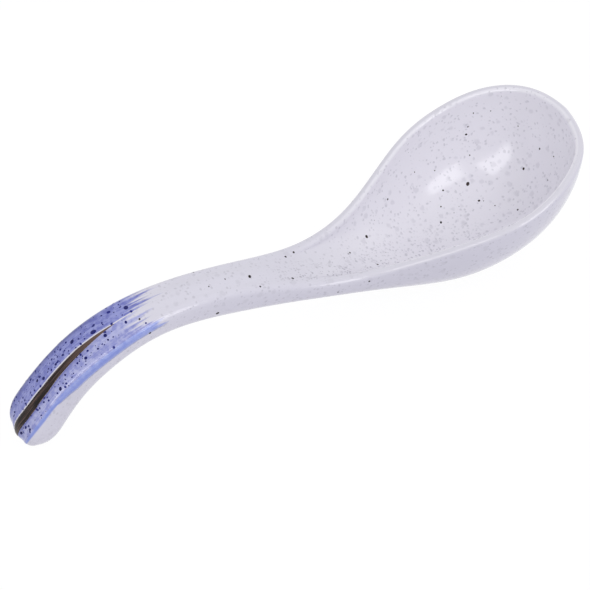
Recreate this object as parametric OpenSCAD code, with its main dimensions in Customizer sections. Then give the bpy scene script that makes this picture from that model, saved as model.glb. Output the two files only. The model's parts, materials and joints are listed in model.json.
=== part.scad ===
// A glazed stoneware ladle spoon with a hooked handle, painted by hand at the hook.
// It lies as it does on a table: on the foot under its bowl and on the tip of its handle.
// +X points to the tip of the bowl, +Z is up, and the origin is the middle of the foot.

/* [Overall] */
// Length from the curl of the handle to the tip of the bowl
overall_length = 171; // [150:1:195]
// Height of the handle's arch above the table
arch_height = 32; // [28:0.5:37]

/* [Bowl] */
// Width over the rim at its widest place
bowl_width = 48; // [42:1:56]
// Height of the rim above the table where the bowl is widest
rim_height = 32; // [28:0.5:36]
// How much higher the rim stands at the tip of the bowl
tip_lift = 7.3; // [5:0.1:10]
// Thickness of the bowl's floor and wall, glaze included
bowl_wall = 4; // [3.4:0.1:5]
// Radius of the round lip
lip_radius = 1.2; // [1:0.1:1.5]

/* [Handle] */
// Width of the handle along its hook
handle_width = 13; // [11:0.5:15]
// Thickness of the handle over its arch
handle_thickness = 10; // [8.5:0.5:12]
// Radius of the handle's long edges
shoulder_radius = 2.2; // [1.6:0.1:2.6]
// How far the top of the handle swells above its edges
crown = 0.7; // [0.3:0.1:1]
// How round the end of the handle is: 0 would be cut square and 1 a full half round
end_roundness = 0.9; // [0.6:0.05:0.9]

/* [Foot] */
// Length of the bare foot under the bowl
foot_length = 20; // [16:1:24]
// Width of the bare foot
foot_width = 13; // [11:0.5:15]
// Slope of the foot's edge, measured on the table
foot_draft = 0.5; // [0.3:0.1:0.7]

/* [Coats] */
// Thickness of the white glaze
glaze = 0.4; // [0.3:0.05:0.5]
// Thickness of the brushed colour
colour_coat = 0.12; // [0.08:0.02:0.16]
// Width of the brown stroke where it is widest, as a share of half the handle's width
brown_share = 0.42; // [0.2:0.02:0.46]

/* [Hidden] */
clay_colour = [0.86, 0.82, 0.76];
glaze_colour = [0.88, 0.87, 0.9];
blue_colour = [0.55, 0.58, 0.78];
brown_colour = [0.26, 0.2, 0.22];
navy_colour = [0.16, 0.17, 0.42];
speck_colour = [0.2, 0.18, 0.2];
tiny = 0.001;

// Thirteen places steer the shape, from the end of the handle to the tip of the bowl. A smooth
// curve runs by them, so most are aimed at and not touched. Each list has one value for a place.
// Places along the table, measured from the foot
along_shares = [-0.764, -0.762, -0.717, -0.626, -0.505, -0.357, -0.234, -0.117, 0, 0.079, 0.112, 0.121,
                0.121];
// Reach of the sections that fan out round the front of the bowl
fan_shares = [0, 0, 0, 0, 0, 0, 0, 0, 0, 0.042, 0.25, 0.434, 0.434];
// Heights of the edge line: seven places of the handle, then six of the rim
handle_rise_shares = [0.036, 0.104, 0.55, 0.88, 1.046, 0.886, 0.584];
neck_rise_share = 0.585;
rim_rise_shares = [0.878, 0.978];
lift_shares = [0.722, 0.84, 1];
// Half widths: six places of the handle, then the neck and the bowl
handle_width_shares = [0.494, 0.61, 0.445, 0.553, 0.465, 0.437];
bowl_width_shares = [0.175, 0.263, 0.475, 0.526, 0.448, 0.238, 0];
// Depths from the edge line down to the keel: seven places of the handle, then the neck
handle_depth_shares = [1.22, 1, 1.3, 0.965, 0.925, 1.19, 0.7];
neck_depth_share = 0.407;
// Heights of the keel's control places under the bowl
keel_lift_shares = [-0.038, 0.05, 0.088, 0.088, 0.088];
// How square the sections are: 2 is an ellipse, and more fills out the corners
fullness = [3, 3, 3, 3, 3, 2.8, 2.6, 2.5, 2.1, 1.95, 1.95, 1.95, 1.95];
// How far the sections lean with the handle, in degrees
lean_angles = [81, 70, 48, 18.5, -12, -21.5, -12, 0, 0, 0, 0, 0, 0];
// How much of the hollow each place has, against the full depth less the wall
hollow_shares = [0, 0, 0, 0, 0, 0, 0.28, 0.78, 0.97, 1, 1, 1, 1];
// Where the long edges change over from the handle's radius to the lip's
edge_shares = [1, 1, 1, 1, 1, 0.9, 0.5, 0.1, 0, 0, 0, 0, 0];

last_place = len(along_shares) - 1;
rise = concat([for (share = handle_rise_shares) share * arch_height],
              [neck_rise_share * rim_height],
              [for (share = rim_rise_shares) share * rim_height],
              [for (share = lift_shares) rim_height + share * tip_lift]);
half_width = concat([for (share = handle_width_shares) share * handle_width],
                    [for (share = bowl_width_shares) share * bowl_width]);
keel_count = len(keel_lift_shares);
first_keel = last_place + 1 - keel_count;
depth = concat([for (share = handle_depth_shares) share * handle_thickness],
               [neck_depth_share * rim_height],
               [for (k = [0 : keel_count - 1]) rise[first_keel + k] - keel_lift_shares[k] * rim_height]);

// One row for each place: x, z, reach, half width, depth, hollow, fullness, lean, edge radius
places = [for (k = [0 : last_place]) [
    along_shares[k] * overall_length,
    rise[k],
    fan_shares[k] * bowl_width,
    half_width[k],
    depth[k],
    hollow_shares[k] > 0 ? hollow_shares[k] * max(depth[k] - bowl_wall, lip_radius) : -crown,
    fullness[k],
    lean_angles[k],
    lip_radius + edge_shares[k] * (shoulder_radius - lip_radius)]];

// The smooth curve by the places: t is 0 at the end of the handle and 1 at the tip of the bowl
degree = 3;
function knot(k) = max(0, min(1, (k - degree) / (last_place + 1 - degree)));
function ratio(part, whole) = whole > tiny ? part / whole : 0;
function pull(k, p, t) = p == 0
    ? (t >= knot(k) && t < knot(k + 1) ? 1 : 0)
    : ratio(t - knot(k), knot(k + p) - knot(k)) * pull(k, p - 1, t)
      + ratio(knot(k + p + 1) - t, knot(k + p + 1) - knot(k + 1)) * pull(k + 1, p - 1, t);
function place_at(t) = t >= 1 ? places[last_place] : [for (k = [0 : last_place]) pull(k, degree, t)] * places;

// t at a given distance from the foot, found by halving the stretch it lies in
function share_at(x, low, high, steps) = steps == 0 ? (low + high) / 2
    : place_at((low + high) / 2)[0] < x ? share_at(x, (low + high) / 2, high, steps - 1)
    : share_at(x, low, (low + high) / 2, steps - 1);
search_steps = 24;
search_end_share = 0.9;
neck_share = 0.42;
bowl_share = 0.6;
rear_share = share_at(-foot_length / 2, neck_share, search_end_share, search_steps);
front_share = share_at(foot_length / 2, rear_share, search_end_share, search_steps);
rear_inner_share = share_at(-foot_length / 2 + foot_draft, rear_share, search_end_share, search_steps);
front_inner_share = share_at(foot_length / 2 - foot_draft, rear_share, search_end_share, search_steps);

// The rings: those that round the end of the handle, then the handle, the neck, foot and front
end_angles = [0, 24, 44, 60, 75];
end_radius = end_roundness * min(half_width[0], depth[0] / 2);
handle_rings = 17;
neck_rings = 8;
foot_rings = 7;
front_rings = 11;
probe_share = 0.01;
probe = place_at(probe_share);
end_run = norm([probe[0] - places[0][0], probe[1] - places[0][1]]) / probe_share;
start_share = end_radius / end_run;
ring_shares = concat(
    [for (a = end_angles) end_radius * (1 - cos(a)) / end_run],
    [for (k = [0 : handle_rings - 1]) mix(start_share, neck_share, k / handle_rings)],
    [for (k = [0 : neck_rings - 1]) mix(neck_share, rear_share, k / neck_rings)],
    [rear_share],
    [for (k = [0 : foot_rings - 1]) mix(rear_inner_share, front_inner_share, k / (foot_rings - 1))],
    [front_share],
    [for (k = [1 : front_rings]) mix(front_share, 1, sin(90 * k / front_rings))]);
end_rings = len(end_angles);
last_ring = len(ring_shares) - 1;
rear_ring = end_rings + handle_rings + neck_rings;
front_ring = rear_ring + foot_rings + 1;

// The columns of half a ring, from the keel over the lip to the middle of the hollow
keel_angles = [0, 6, 11.5, 14.5];
side_angles = [27, 41, 56, 73, 90];
lip_angles = [45, 90];
across_angles = [18, 34, 50, 64, 78];
foot_column = len(keel_angles) - 1;
side_column = foot_column + len(side_angles);
crest_column = side_column + len(lip_angles);
floor_column = crest_column + len(lip_angles);
middle_column = floor_column + len(across_angles) + 1;
ring_size = 2 * middle_column;

// On the handle's top the columns run along the edges of the brown stroke. It lies on the near
// side of the middle, is narrower at the end of the handle, swells, and ends in a point. On the far
// side of the middle a thin line is left white beside it.
stroke_end_share = 0.3;
brown_end_share = 0.245;
brown_swell_share = 0.1;
brown_start_width = 0.4;
brown_point_power = 4;
least_brown = 0.06;
white_line_share = 0.07;
function taper(t) = 1 - pow(min(t / brown_end_share, 1), brown_point_power);
function swell(t) = mix(brown_start_width, 1, step_up(t, 0, brown_swell_share));
function stroke_edge(t) = max(brown_share * swell(t) * taper(t), least_brown);
function top_share(k, t, crest_share, side) = k == middle_column ? 0
    : mix(side > 0 ? white_line_share : stroke_edge(t), crest_share,
          (middle_column - 1 - k) / (middle_column - 1 - crest_column));
function mix(a, b, share) = a + (b - a) * share;
function step_up(t, low, high) = let (s = max(0, min(1, (t - low) / (high - low)))) s * s * (3 - 2 * s);

// The strokes as bands of columns: the first and last column, and how far down the handle it goes,
// in rings counted from the rounded end. The far side's columns come first, then the near side's.
first_painted = 1;
far_bands = [[side_column, crest_column, 12], [crest_column + 1, crest_column + 3, 11],
             [crest_column + 4, middle_column - 2, 10]];
brown_bands = [[middle_column, middle_column, 9]];
near_bands = [[middle_column + 1, middle_column + 3, 10], [middle_column + 4, middle_column + 5, 11],
              [middle_column + 6, middle_column + 7, 12]];
edge_bands = [[ring_size - crest_column + 1, ring_size - crest_column + 1, 13]];

// Drops and grains: the ring, counted from the rounded end, the columns from the middle, and the
// size as a share of the largest. Columns count up to the far side and down to the near side.
drop_radius = 0.6;
drops = [[0, 3, 0.6], [0, -4, 0.8], [1, 5, 0.5], [1, -5, 0.7], [2, 3, 0.8], [2, -4, 0.6], [3, 4, 0.9],
         [3, -6, 0.7], [4, 3, 0.7], [4, -5, 0.8], [5, 5, 0.6], [5, 3, 1], [6, -4, 0.9], [6, 4, 0.5],
         [7, 3, 1], [7, -6, 0.5], [8, 5, 0.6], [8, -3, 0.8], [8, 3, 0.9], [9, -5, 0.5], [9, 4, 0.5],
         [10, 6, 0.8]];
grain_radius = 0.65;
grains = [[13, 2, 0.6], [15, 4, 0.7], [16, -4, 0.4], [17, 1, 0.5], [18, -5, 0.9], [19, 3, 0.5],
          [20, -3, 0.7], [22, 4, 0.5], [23, 1, 0.7], [24, -4, 0.9], [26, 3, 0.6], [27, 1, 0.7],
          [29, 2, 0.9], [30, -4, 0.6], [32, 4, 0.7], [34, 1, 1], [36, 3, 0.8], [37, -5, 0.7],
          [39, 2, 0.8], [40, -3, 0.6], [41, 4, 0.7], [42, 3, 0.5]];

// Half width of the foot at a ring, and whether a ring has the foot's flat underside
foot_end_width = 0.4;
function foot_half(x) = foot_width / 2
    * sqrt(mix(1, pow(foot_end_width, 2), min(pow(2 * x / foot_length, 2), 1)));
function in_foot(i) = i >= rear_ring && i <= front_ring;
function on_table(i, k) = i > rear_ring && i < front_ring && k < foot_column;

// The underside and the outer lip of a section, out from the mid-plane and down from the edge line
function outside(row, k, i) =
    let (reach = norm([row[2], row[3]]), r = edge_radius(row), a = k <= foot_column ? keel_angles[k]
             : side_angles[min(k, side_column) - foot_column - 1],
         foot_out = foot_half(row[0]) - (k == foot_column ? 0 : foot_draft),
         own = in_foot(i) && k <= foot_column ? foot_out * (k == 1 ? 0.5 : min(k, 1))
             : reach * pow(sin(a), 2 / row[6]),
         b = lip_angles[k - side_column - 1])
    k <= side_column
    ? [own, r + (row[4] - r) * pow(max(1 - pow(own / max(reach, tiny), row[6]), 0), 1 / row[6])]
    : [reach - r + r * cos(b), r - r * sin(b)];
most_round = 0.45;
function edge_radius(row) = min(row[8], most_round * norm([row[2], row[3]]), most_round * row[4]);

// The inner lip and the hollow of a section in the bowl
function hollow_side(row, k) =
    let (reach = norm([row[2], row[3]]), r = edge_radius(row), rolled = max(min(row[5] / 2, r), -r),
         b = lip_angles[k - crest_column - 1],
         c = k == middle_column ? 90 : across_angles[max(k - floor_column - 1, 0)])
    k <= floor_column ? [reach - r - r * sin(b), rolled - rolled * cos(b)]
    : [(reach - 2 * r) * pow(cos(c), 2 / row[6]), rolled + (row[5] - rolled) * pow(sin(c), 2 / row[6])];

// The swelling top of a section of the handle
function top_side(row, k, t, side) =
    let (reach = norm([row[2], row[3]]), crest_share = 1 - ratio(edge_radius(row), reach),
         share = top_share(k, t, crest_share, side))
    [reach * share, -crown * pow(1 - pow(share / crest_share, 2), 2)];
function section(row, k, t, i, side) = k <= crest_column ? outside(row, k, i)
    : mix(top_side(row, k, t, side), hollow_side(row, k), step_up(t, stroke_end_share, bowl_share));

// The same place taken a skin inward; a negative skin lies outside
function skinned(row, skin, trim) = [row[0], row[1],
    row[2] * (1 - ratio(trim, norm([row[2], row[3]]))), row[3] * (1 - ratio(trim, norm([row[2], row[3]]))),
    row[4] - 2 * trim, row[5], row[6], row[7], row[8] - skin];

// The row of a ring, a skin under the glaze's face; the first rings are trimmed to round the end
function ring_share_in(i, skin) = ring_shares[i] + (i < end_rings ? skin * cos(end_angles[i]) / end_run : 0);
function trim_at(i, skin) = skin + (i < end_rings ? (end_radius - skin) * (1 - sin(end_angles[i])) : 0);
function row_at(i, skin) = skinned(place_at(ring_share_in(i, skin)), skin, trim_at(i, skin));

// A point of the surface: ring i with its row, column k, side 1 or -1, under the same skin
function point(i, row, k, side, skin) =
    let (trim = trim_at(i, skin),
         flat = section(row, k, ring_shares[i], i, side),
         reach = norm([row[2], row[3]]),
         along = flat[0] * ratio(row[2], reach),
         across = i == last_ring ? 0 : flat[0] * ratio(row[3], reach),
         down = flat[1] + trim,
         z = row[1] - cos(row[7]) * down)
    [row[0] + (i == last_ring ? flat[0] : along) + sin(row[7]) * down,
     side * across,
     skin > 0 && on_table(i, k) ? 0 : max(z, max(skin, 0))];

// Points ring by ring: one side from keel to middle, then back down the other side
function at_column(i, row, c, skin) = c <= middle_column
    ? point(i, row, c, 1, skin)
    : point(i, row, ring_size - c, -1, skin);
function ring(i, row, skin) = [for (c = [0 : ring_size - 1]) at_column(i, row, c, skin)];
function skin_points(skin) = [for (i = [0 : last_ring]) each ring(i, row_at(i, skin), skin)];

// Where a point stands in the list; on the last ring the two sides share theirs
function index(i, c) = let (w = (c + ring_size) % ring_size)
    i * ring_size + (i == last_ring && w > middle_column ? ring_size - w : w);
// The two triangles of a cell, split the same way on both sides of the mid-plane
function cell(i, c) = (c > 0 && c < middle_column) || c == ring_size - 1
    ? [[index(i, c), index(i + 1, c), index(i + 1, c + 1)],
       [index(i, c), index(i + 1, c + 1), index(i, c + 1)]]
    : [[index(i, c), index(i + 1, c), index(i, c + 1)],
       [index(i + 1, c), index(i + 1, c + 1), index(i, c + 1)]];
function bare(i, c) = i >= rear_ring && i < front_ring
    && (c < foot_column || c >= ring_size - foot_column);
// The end of the handle, closed by strips from one side to the other
function end_cap() = concat(
    [[0, 1, ring_size - 1]],
    [for (c = [1 : middle_column - 2]) each
        [[c, c + 1, ring_size - c - 1], [c, ring_size - c - 1, ring_size - c]]],
    [[middle_column - 1, middle_column, middle_column + 1]]);
function flipped(faces) = [for (face = faces) [face[2], face[1], face[0]]];
function shifted(faces, by) = [for (face = faces) [for (k = face) k + by]];

all_cells = [for (i = [0 : last_ring - 1], c = [0 : ring_size - 1]) [i, c]];
whole_skin = concat([for (at = all_cells) each cell(at[0], at[1])], end_cap());
open_skin = concat([for (at = all_cells) if (!bare(at[0], at[1])) each cell(at[0], at[1])], end_cap());

// Walls between an outer and an inner layer, where a patch of cells ends
function wall(a, b, by) = [[b, a, a + by], [b, a + by, b + by]];
function edge_walls(cells, by) = [for (at = cells) each concat(
    cell_in(cells, at[0] - 1, at[1]) ? [] : wall(index(at[0], at[1] + 1), index(at[0], at[1]), by),
    cell_in(cells, at[0] + 1, at[1]) ? [] : wall(index(at[0] + 1, at[1]), index(at[0] + 1, at[1] + 1), by),
    cell_in(cells, at[0], at[1] - 1) ? [] : wall(index(at[0], at[1]), index(at[0] + 1, at[1]), by),
    cell_in(cells, at[0], at[1] + 1) ? [] : wall(index(at[0] + 1, at[1] + 1), index(at[0], at[1] + 1), by))];
function cell_in(cells, i, c) = let (w = (c + ring_size) % ring_size)
    len([for (at = cells) if (at[0] == i && at[1] == w) 1]) > 0;

module clay_body() {
    color(clay_colour)
    polyhedron(skin_points(glaze), whole_skin);
}

// The glaze covers everything but the foot, so its two faces meet round the foot's edge
module white_glaze() {
    count = (last_ring + 1) * ring_size;
    bare_cells = [for (at = all_cells) if (bare(at[0], at[1])) at];
    color(glaze_colour)
    polyhedron(concat(skin_points(0), skin_points(glaze)),
               concat(open_skin, shifted(flipped(open_skin), count), flipped(edge_walls(bare_cells, count))));
}

// A brushed stroke: bands of cells on the glaze's face, raised by the thickness of the colour. Each
// band has its first and last column and the ring where it ends, so the stroke's tail is streaky.
module stroke(bands) {
    count = (last_ring + 1) * ring_size;
    cells = [for (band = bands, i = [first_painted : end_rings + band[2] - 1],
                  c = [band[0] : band[1]]) [i, c]];
    patch = [for (at = cells) each cell(at[0], at[1])];
    polyhedron(concat(skin_points(-colour_coat), skin_points(0)),
               concat(patch, shifted(flipped(patch), count), edge_walls(cells, count)));
}

// A drop or a grain: a thin round piece lying on one of the two facets of a cell
module fleck(i, c, radius, skin) {
    points = [for (k = [0 : 1], w = [0 : 1])
        at_column(i + k, row_at(i + k, skin), (c + w) % ring_size, skin)];
    corners = (c > 0 && c < middle_column) || c == ring_size - 1
        ? [points[0], points[2], points[3]] : [points[0], points[2], points[1]];
    middle = (corners[0] + corners[1] + corners[2]) / 3;
    u = unit(corners[1] - corners[0]);
    n = unit(cross(corners[2] - corners[0], corners[1] - corners[0]));
    v = cross(n, u);
    multmatrix([for (k = [0 : 2]) [u[k], v[k], n[k], middle[k]]])
    cylinder(h = colour_coat, r = radius);
}
function unit(v) = v / norm(v);

module far_blue_stroke() {
    color(blue_colour)
    stroke(far_bands);
}

module near_blue_stroke() {
    color(blue_colour)
    stroke(near_bands);
}

module edge_blue_stroke() {
    color(blue_colour)
    stroke(edge_bands);
}

module brown_stroke() {
    color(brown_colour)
    stroke(brown_bands);
}

// Drops of darker blue that the brush spattered over its own strokes
module blue_spatter() {
    color(navy_colour)
    for (at = drops) fleck(end_rings + at[0], middle_column - at[1], at[2] * drop_radius, -colour_coat);
}

// Grains of iron that melted through the glaze, scattered over the whole spoon
module iron_specks() {
    color(speck_colour)
    for (at = grains) fleck(end_rings + at[0], middle_column - at[1], at[2] * grain_radius, 0);
}

clay_body();
white_glaze();
far_blue_stroke();
near_blue_stroke();
edge_blue_stroke();
brown_stroke();
blue_spatter();
iron_specks();
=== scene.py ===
# %% [markdown]
# # A glazed stoneware ladle spoon with a hooked handle
# The real spoon is one piece of pale stoneware. It was shaped in clay, dried, painted at the hook
# with a wide brush, dipped in a lavender-white glaze and fired. This lesson lays the same coats
# over each other: the clay with its bare foot, the glaze, the brushed colours and the grains of
# iron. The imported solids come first, because every piece here stands for one of them.

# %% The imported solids
import json
import math
import bmesh
import bpy
import numpy as np
from mathutils import Matrix, Vector

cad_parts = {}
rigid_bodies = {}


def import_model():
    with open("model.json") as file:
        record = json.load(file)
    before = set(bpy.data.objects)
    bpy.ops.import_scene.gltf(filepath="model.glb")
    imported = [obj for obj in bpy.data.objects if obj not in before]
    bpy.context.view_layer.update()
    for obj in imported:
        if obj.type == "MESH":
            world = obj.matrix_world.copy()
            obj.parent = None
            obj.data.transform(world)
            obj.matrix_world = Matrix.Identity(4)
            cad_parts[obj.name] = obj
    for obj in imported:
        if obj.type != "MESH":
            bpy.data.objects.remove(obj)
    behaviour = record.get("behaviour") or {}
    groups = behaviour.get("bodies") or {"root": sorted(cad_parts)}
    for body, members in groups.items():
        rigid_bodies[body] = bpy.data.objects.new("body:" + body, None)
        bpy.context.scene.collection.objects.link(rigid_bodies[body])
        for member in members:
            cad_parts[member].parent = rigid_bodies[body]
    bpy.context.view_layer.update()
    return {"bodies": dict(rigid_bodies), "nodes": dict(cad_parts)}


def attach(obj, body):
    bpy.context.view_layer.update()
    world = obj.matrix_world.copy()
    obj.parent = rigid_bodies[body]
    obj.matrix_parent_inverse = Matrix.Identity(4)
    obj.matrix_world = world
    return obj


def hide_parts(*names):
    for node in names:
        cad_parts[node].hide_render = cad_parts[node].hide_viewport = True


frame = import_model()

body = next(iter(frame["bodies"]))
print("solids:", ", ".join(sorted(frame["nodes"])))

# %% [markdown]
# ## The sizes
# A spoon like this has no straight line in it, so a handful of sizes and a table of shares steer
# its form. They are the sizes that the solids were made from, which keeps both models alike.
# Lengths are written in millimetres, as a potter would, and turned into metres at the very end.

# %% The sizes of the spoon, in millimetres
MM = 0.001
overall_length = 171
arch_height = 32
bowl_width = 48
rim_height = 32
tip_lift = 7.3
bowl_wall = 4
lip_radius = 1.2
handle_width = 13
handle_thickness = 10
shoulder_radius = 2.2
crown = 0.7
end_roundness = 0.9
foot_length = 20
foot_width = 13
glaze = 0.4
print("a spoon %g mm long, with a bowl %g mm wide" % (overall_length, bowl_width))

# %% The thirteen places that steer the form
along = np.array([-0.764, -0.762, -0.717, -0.626, -0.505, -0.357, -0.234, -0.117, 0,
                  0.079, 0.112, 0.121, 0.121])
fan = np.array([0, 0, 0, 0, 0, 0, 0, 0, 0, 0.042, 0.25, 0.434, 0.434])
rise = np.concatenate([
    np.array([0.036, 0.104, 0.55, 0.88, 1.046, 0.886, 0.584]) * arch_height,
    np.array([0.585, 0.878, 0.978]) * rim_height,
    rim_height + np.array([0.722, 0.84, 1]) * tip_lift])
half_width = np.concatenate([
    np.array([0.494, 0.61, 0.445, 0.553, 0.465, 0.437]) * handle_width,
    np.array([0.175, 0.263, 0.475, 0.526, 0.448, 0.238, 0]) * bowl_width])
depth = np.concatenate([
    np.array([1.22, 1, 1.3, 0.965, 0.925, 1.19, 0.7]) * handle_thickness,
    [0.407 * rim_height],
    rise[8:] - np.array([-0.038, 0.05, 0.088, 0.088, 0.088]) * rim_height])
hollow_share = np.array([0, 0, 0, 0, 0, 0, 0.28, 0.78, 0.97, 1, 1, 1, 1])
hollow = np.where(hollow_share > 0,
                  hollow_share * np.maximum(depth - bowl_wall, lip_radius), -crown)
fullness = np.array([3, 3, 3, 3, 3, 2.8, 2.6, 2.5, 2.1, 1.95, 1.95, 1.95, 1.95])
lean = np.array([81, 70, 48, 18.5, -12, -21.5, -12, 0, 0, 0, 0, 0, 0])
edge_share = np.array([1, 1, 1, 1, 1, 0.9, 0.5, 0.1, 0, 0, 0, 0, 0])
edge = lip_radius + edge_share * (shoulder_radius - lip_radius)
places = np.stack([along * overall_length, rise, fan * bowl_width, half_width, depth, hollow,
                   fullness, lean, edge], axis=1)
end_radius = end_roundness * min(half_width[0], depth[0] / 2)
print("places:", places.shape, " the end is rounded by %.1f mm" % end_radius)

# %% [markdown]
# ## One smooth curve
# The places are joined by a clamped cubic B-spline, the curve that a bent wooden batten would
# take. Its parameter t is 0 at the end of the handle and 1 at the tip of the bowl. The same curve
# carries the widths, depths and roundings, so nothing along the spoon changes with a jolt.

# %% The curve
DEGREE = 3
KNOTS = np.clip((np.arange(len(places) + DEGREE + 1) - DEGREE) / (len(places) - DEGREE), 0, 1)
LAST = 1 - 1e-9     # t stops this close to 1, inside the last knot span


def rows_at(t):
    """The row of sizes at each t: x, z, fan, half width, depth, hollow, fullness, lean, edge."""
    t = np.clip(np.atleast_1d(np.asarray(t, float)), 0, LAST)
    weight = ((t[:, None] >= KNOTS[:-1]) & (t[:, None] < KNOTS[1:])).astype(float)
    for p in range(1, DEGREE + 1):
        n = len(KNOTS) - p - 1
        left, right = KNOTS[p:p + n] - KNOTS[:n], KNOTS[p + 1:p + 1 + n] - KNOTS[1:1 + n]
        since, until = t[:, None] - KNOTS[:n], KNOTS[p + 1:p + 1 + n] - t[:, None]
        up = np.where(left > 0, since / np.where(left > 0, left, 1), 0)
        down = np.where(right > 0, until / np.where(right > 0, right, 1), 0)
        weight = up * weight[:, :n] + down * weight[:, 1:1 + n]
    return weight @ places


steps = np.linspace(0, 1, 401)
track = rows_at(steps)[:, :2]
length_at = np.concatenate([[0], np.cumsum(np.hypot(*np.diff(track, axis=0).T))])
# How fast the curve leaves the end of the handle, in mm for each unit of t.
near_end = 0.01
end_run = np.hypot(*(rows_at(near_end)[0, :2] - places[0, :2])) / near_end
print("length along the edge line: %.0f mm" % length_at[-1])

# %% [markdown]
# ## The sections
# Across the spoon, each section is half of a full ellipse underneath, a round lip, and either the
# swelling top of the handle or the hollow of the bowl. A number s walks round half a section: 0
# at the keel, 1 at the widest point, 2 on the crest of the lip, 3 where the lip turns inwards and
# 4 in the middle. A skin is a distance under the face of the glaze, so one function makes the
# clay, the glaze and the colours that lie on it.

# %% A point of any skin
mixing_from, mixing_to = 0.3, 0.6   # over these t the top of the handle turns into the hollow
widest_lip = 0.45                   # a lip's radius is at most this share of its section
inner_lip = 0.25                    # the inward roll of the lip, as a share of the half width
shoulder_share = 0.3                # what the brush map gives the shoulder, in v


def step_up(x, low, high):
    """0 below low, 1 above high and smooth between them."""
    s = np.clip((x - low) / (high - low), 0, 1)
    return s * s * (3 - 2 * s)


def skin_points(t, s, side, skin, turn=90.0, share=None):
    """Points for arrays of the same shape. turn runs from 0 to 90 degrees round the handle's end;
    share, where given, is the place across the handle's top, as a share of the half width."""
    given = np.broadcast_arrays(t, s, side, skin, turn)
    t, s, side, skin, turn = [np.array(a, float) for a in given]
    turn = np.radians(turn)
    # The tiny numbers below keep the divisions from meeting a zero at the tip.
    trim = skin + (end_radius - skin) * (1 - np.sin(turn))
    row = rows_at((t + skin * np.cos(turn) / end_run).ravel()).reshape(*t.shape, -1)
    x, z, reach_x, reach_y, deep, dish, n, tilt, lip = np.moveaxis(row, -1, 0)
    keep = 1 - trim / np.maximum(np.hypot(reach_x, reach_y), 1e-6)
    reach_x, reach_y, deep = reach_x * keep, reach_y * keep, deep - 2 * trim
    reach = np.maximum(np.hypot(reach_x, reach_y), 1e-9)
    r = np.minimum(lip - skin, widest_lip * np.minimum(reach, deep))
    own = reach * np.sin(np.radians(90 * np.clip(s, 0, 1))) ** (2 / n)
    under = r + (deep - r) * np.maximum(1 - (own / reach) ** n, 0) ** (1 / n)
    bend = np.radians(90 * np.clip(s - 1, 0, 1))
    out = np.where(s <= 1, own, reach - r + r * np.cos(bend))
    down = np.where(s <= 1, under, r - r * np.sin(bend))
    crest = 1 - r / reach
    top_share = crest * share_of(s) if share is None else np.minimum(share, crest)
    top = reach * top_share, -crown * (1 - (top_share / crest) ** 2) ** 2
    rolled = np.clip(dish / 2, -r, r)
    bend = np.radians(90 * np.clip(s - 2, 0, 1))
    c = np.radians(90 * np.clip(s - 3, 0, 1))
    floor_out, floor_down = np.cos(c) ** (2 / n), np.sin(c) ** (2 / n)
    bowl = (np.where(s <= 3, reach - r - r * np.sin(bend), (reach - 2 * r) * floor_out),
            np.where(s <= 3, rolled * (1 - np.cos(bend)), rolled + (dish - rolled) * floor_down))
    mixed = step_up(t, mixing_from, mixing_to)
    inner = s > 2
    out = np.where(inner, top[0] + (bowl[0] - top[0]) * mixed, out)
    down = np.where(inner, top[1] + (bowl[1] - top[1]) * mixed, down) + trim
    tilt = np.radians(tilt)
    return np.stack([x + out * reach_x / reach + np.sin(tilt) * down,
                     side * out * reach_y / reach,
                     np.maximum(z - np.cos(tilt) * down, np.maximum(skin, 0))], axis=-1)


def share_of(s):
    """Across the top: 1 on the crest, where s is 2, and 0 in the middle, where s is 4."""
    return np.where(s <= 3, 1 - inner_lip * (s - 2), (1 - inner_lip) * (4 - s))


tip_x, _, tip_z = skin_points(1.0, 2.0, 1.0, 0.0)
print("at the tip the crest of the lip lies at x = %.1f mm and z = %.1f mm" % (tip_x, tip_z))

# %% [markdown]
# ## A closed shell
# A sheet of quads wraps round the sections, with a fan of triangles closing the end of the hook.
# Rings are closer together where the form turns fast: round the end and round the front of the
# bowl. A subdivided cage would be quicker to draw, but only the formula keeps each coat at its
# exact distance from the next.
#
# The shell also gets a brush map. Its u is the length along the spoon, in metres, and its v says
# where across: 0 in the middle, 1 on the far crest and -1 on the near one. From the crest v grows
# to 1.3 at the widest point and to 2.3 at the keel.

# %% The brush map
def brush_map(t, s, side):
    shoulder = 1 + shoulder_share * (2 - s)
    v = np.where(s <= 1, 2 + shoulder_share - s, np.where(s <= 2, shoulder, share_of(s)))
    return np.stack(np.broadcast_arrays(np.interp(t, steps, length_at) * MM, side * v), axis=-1)


def s_of(v):
    """The s of a place on the brush map, for either side."""
    v = np.abs(v)
    below = np.where(v > 1 + shoulder_share, 2 + shoulder_share - v, 2 - (v - 1) / shoulder_share)
    inner = np.where(v > 1 - inner_lip, 2 + (1 - v) / inner_lip, 4 - v / (1 - inner_lip))
    return np.where(v > 1, below, inner)


print("v at s = 0, 1, 2, 3 and 4:", brush_map(0.5, np.arange(5.0), 1)[:, 1])

# %% A mesh from points
WELD, SLIVER = 1e-6, 1e-7   # metres: points this close are merged, edges this short are dissolved


def linked(name, data):
    """An object at the origin that shows its data: a mesh, a lamp or a camera."""
    thing = bpy.data.objects.new(name, data)
    bpy.context.collection.objects.link(thing)
    return thing


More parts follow.
